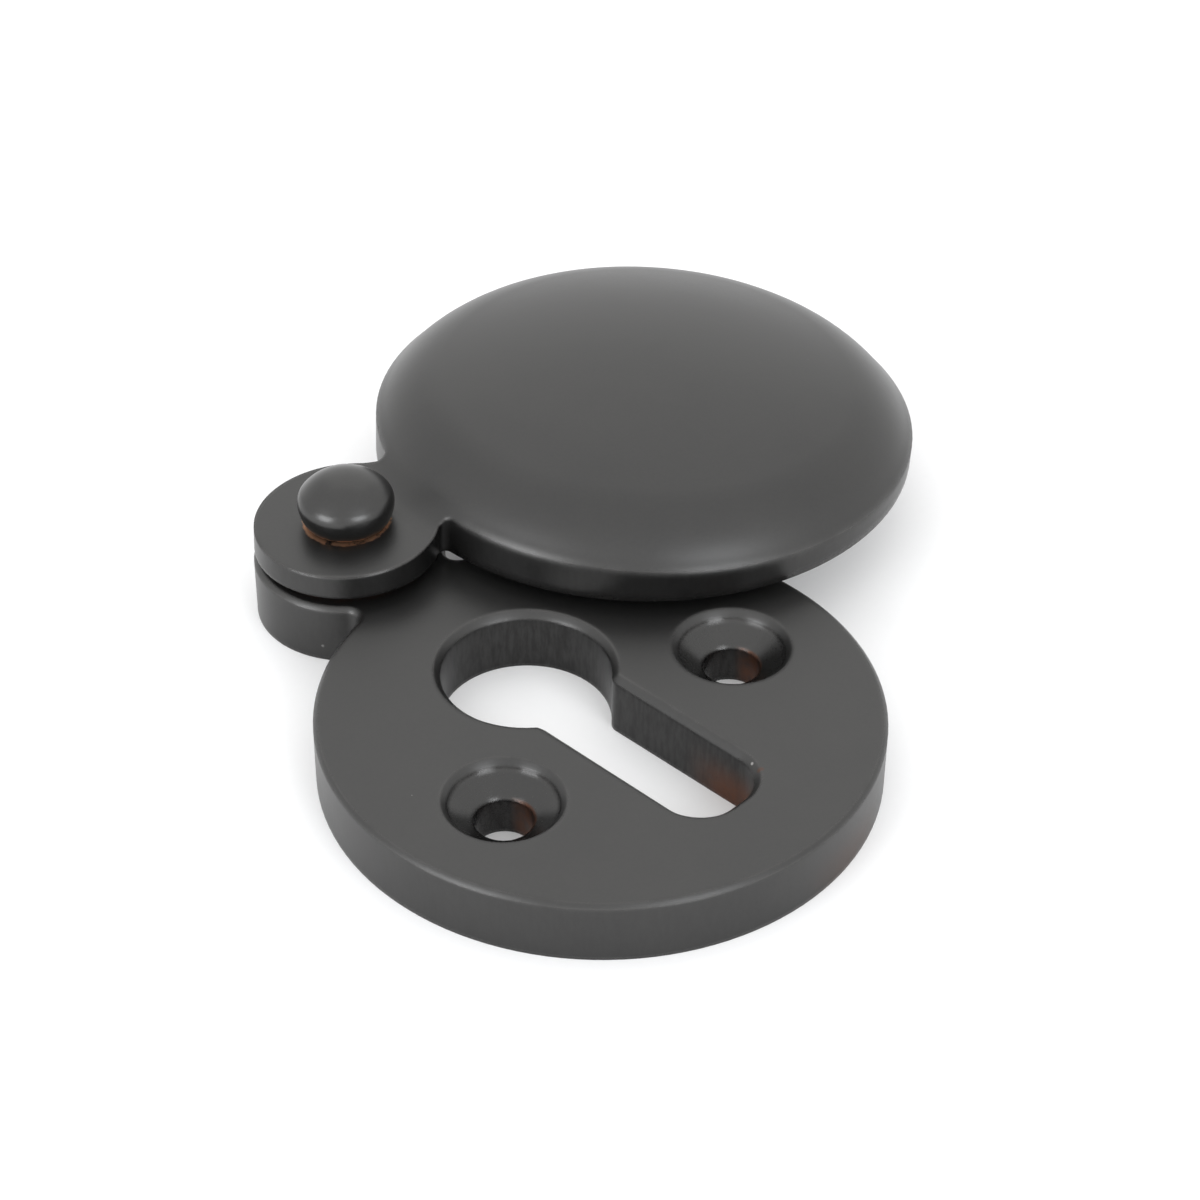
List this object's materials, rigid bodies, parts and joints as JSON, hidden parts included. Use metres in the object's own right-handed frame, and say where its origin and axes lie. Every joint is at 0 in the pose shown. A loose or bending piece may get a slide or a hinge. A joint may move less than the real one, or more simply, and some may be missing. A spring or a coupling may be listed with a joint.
{
  "type": "keyhole escutcheon",
  "caption": "Round keyhole escutcheon for a lever lock, with countersunk fixing holes and a domed cover that swings aside on a rivet.",
  "frame": {"origin": "midway between the two fixing screw holes, on the back face of the plate, which lies on the door", "axes": "+Z out of the door along the screws, +Y towards the rivet that the cover hangs from, +X to the right seen from the front; the cover is swung open"},
  "size_m": [0.0535, 0.0489, 0.0114],
  "materials": {
    "plate_bronze": "satin, blackened",
    "washer_bronze": "worn, partly bare",
    "rivet_bronze": "satin, blackened",
    "cover_bronze": "satin, blackened"
  },
  "bodies": {
    "plate": {"base_plate": "plate_bronze", "spacer_washer": "washer_bronze", "pivot_rivet": "rivet_bronze"},
    "cover": {"cover": "cover_bronze"}
  },
  "joints": [
    {"name": "cover_swing", "type": "hinge", "parent": "plate", "child": "cover", "pos_m": [0, 0.02265, 0.0045], "axis": [0, 0, 1], "continuous": true}
  ]
}
